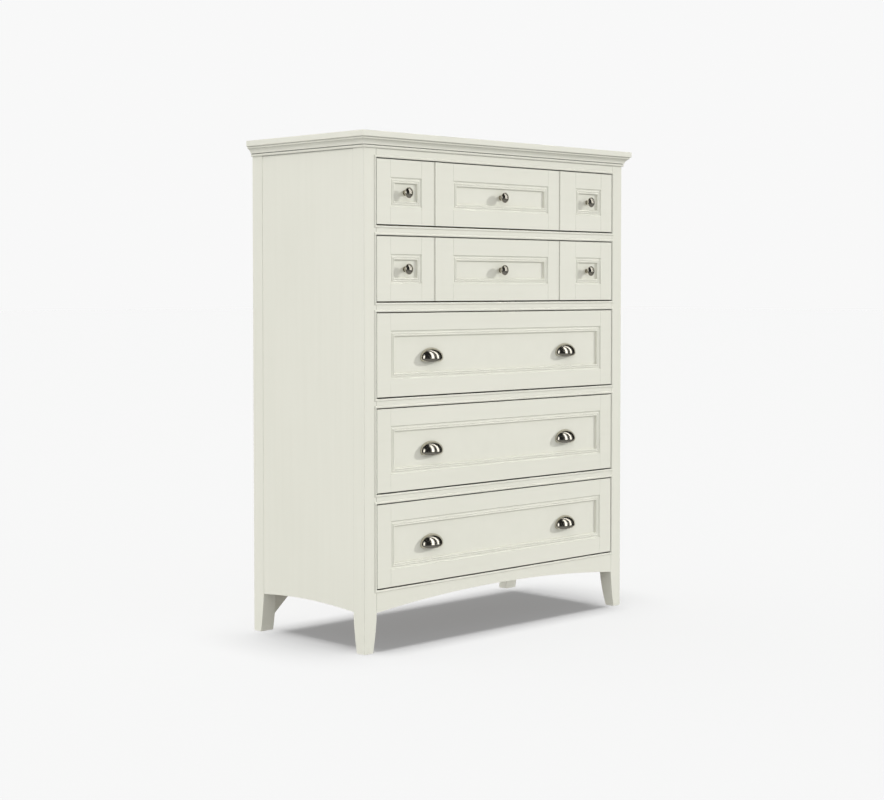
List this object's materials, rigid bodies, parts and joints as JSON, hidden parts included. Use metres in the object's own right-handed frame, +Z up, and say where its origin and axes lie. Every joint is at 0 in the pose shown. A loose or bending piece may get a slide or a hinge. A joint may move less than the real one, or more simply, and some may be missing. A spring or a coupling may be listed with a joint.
{
  "type": "tall chest of drawers",
  "caption": "Tall painted chest with inset panelled drawers on telescopic slides, knobs above and cup pulls below, a crown moulding, an arched apron and tapered feet.",
  "frame": {"origin": "on the floor, under the centre of the top board's outline", "axes": "+Z up along the longest extent, +Y towards the back along the shortest extent, +X to the right seen from the front"},
  "size_m": [1.041, 0.471, 1.321],
  "materials": {
    "paint": "satin off-white paint",
    "drawer_wood": "clear lacquer",
    "plywood": "clear lacquer",
    "timber": "sanded, unfinished",
    "backing": "unpainted board",
    "nickel": "brushed nickel",
    "slide_steel": "zinc plated",
    "screw_steel": "zinc plated",
    "nylon": "matte"
  },
  "bodies": {
    "case": {"top_board": "paint", "crown_moulding": "paint", "front_posts": "paint", "rear_posts": "paint", "foot_glides": "nylon", "side_panel_left": "paint", "side_panel_right": "paint", "back_panel": "backing", "rear_rails": "timber", "rear_corner_brackets": "paint", "drawer_rails": "paint", "front_apron": "paint", "opening_beads": "paint", "slide_cleats": "timber", "slide_case_members": "slide_steel"},
    "drawer_1": {"drawer_1_front_frame": "paint", "drawer_1_front_panels": "paint", "drawer_1_panel_mouldings": "paint", "drawer_1_box": "drawer_wood", "drawer_1_bottom": "plywood", "drawer_1_slide_runners": "slide_steel", "drawer_1_screws": "screw_steel", "drawer_1_knobs": "nickel"},
    "drawer_1_mid_slides": {"drawer_1_slide_mid_members": "slide_steel"},
    "drawer_2": {"drawer_2_front_frame": "paint", "drawer_2_front_panels": "paint", "drawer_2_panel_mouldings": "paint", "drawer_2_box": "drawer_wood", "drawer_2_bottom": "plywood", "drawer_2_slide_runners": "slide_steel", "drawer_2_screws": "screw_steel", "drawer_2_knobs": "nickel"},
    "drawer_2_mid_slides": {"drawer_2_slide_mid_members": "slide_steel"},
    "drawer_3": {"drawer_3_front_frame": "paint", "drawer_3_front_panels": "paint", "drawer_3_panel_mouldings": "paint", "drawer_3_box": "drawer_wood", "drawer_3_bottom": "plywood", "drawer_3_slide_runners": "slide_steel", "drawer_3_screws": "screw_steel", "drawer_3_cup_pulls": "nickel"},
    "drawer_3_mid_slides": {"drawer_3_slide_mid_members": "slide_steel"},
    "drawer_4": {"drawer_4_front_frame": "paint", "drawer_4_front_panels": "paint", "drawer_4_panel_mouldings": "paint", "drawer_4_box": "drawer_wood", "drawer_4_bottom": "plywood", "drawer_4_slide_runners": "slide_steel", "drawer_4_screws": "screw_steel", "drawer_4_cup_pulls": "nickel"},
    "drawer_4_mid_slides": {"drawer_4_slide_mid_members": "slide_steel"},
    "drawer_5": {"drawer_5_front_frame": "paint", "drawer_5_front_panels": "paint", "drawer_5_panel_mouldings": "paint", "drawer_5_box": "drawer_wood", "drawer_5_bottom": "plywood", "drawer_5_slide_runners": "slide_steel", "drawer_5_screws": "screw_steel", "drawer_5_cup_pulls": "nickel"},
    "drawer_5_mid_slides": {"drawer_5_slide_mid_members": "slide_steel"}
  },
  "joints": [
    {"name": "drawer_1_slide", "type": "slide", "parent": "case", "child": "drawer_1", "axis": [0, -1, 0], "range_m": [0, 0.34]},
    {"name": "drawer_1_mid_slide", "type": "slide", "parent": "case", "child": "drawer_1_mid_slides", "axis": [0, -1, 0], "range_m": [0, 0.17]},
    {"name": "drawer_2_slide", "type": "slide", "parent": "case", "child": "drawer_2", "axis": [0, -1, 0], "range_m": [0, 0.34]},
    {"name": "drawer_2_mid_slide", "type": "slide", "parent": "case", "child": "drawer_2_mid_slides", "axis": [0, -1, 0], "range_m": [0, 0.17]},
    {"name": "drawer_3_slide", "type": "slide", "parent": "case", "child": "drawer_3", "axis": [0, -1, 0], "range_m": [0, 0.34]},
    {"name": "drawer_3_mid_slide", "type": "slide", "parent": "case", "child": "drawer_3_mid_slides", "axis": [0, -1, 0], "range_m": [0, 0.17]},
    {"name": "drawer_4_slide", "type": "slide", "parent": "case", "child": "drawer_4", "axis": [0, -1, 0], "range_m": [0, 0.34]},
    {"name": "drawer_4_mid_slide", "type": "slide", "parent": "case", "child": "drawer_4_mid_slides", "axis": [0, -1, 0], "range_m": [0, 0.17]},
    {"name": "drawer_5_slide", "type": "slide", "parent": "case", "child": "drawer_5", "axis": [0, -1, 0], "range_m": [0, 0.34]},
    {"name": "drawer_5_mid_slide", "type": "slide", "parent": "case", "child": "drawer_5_mid_slides", "axis": [0, -1, 0], "range_m": [0, 0.17]}
  ],
  "couplings": [
    {"joint": "drawer_1_mid_slide", "follows": "drawer_1_slide", "ratio": 0.5},
    {"joint": "drawer_2_mid_slide", "follows": "drawer_2_slide", "ratio": 0.5},
    {"joint": "drawer_3_mid_slide", "follows": "drawer_3_slide", "ratio": 0.5},
    {"joint": "drawer_4_mid_slide", "follows": "drawer_4_slide", "ratio": 0.5},
    {"joint": "drawer_5_mid_slide", "follows": "drawer_5_slide", "ratio": 0.5}
  ]
}
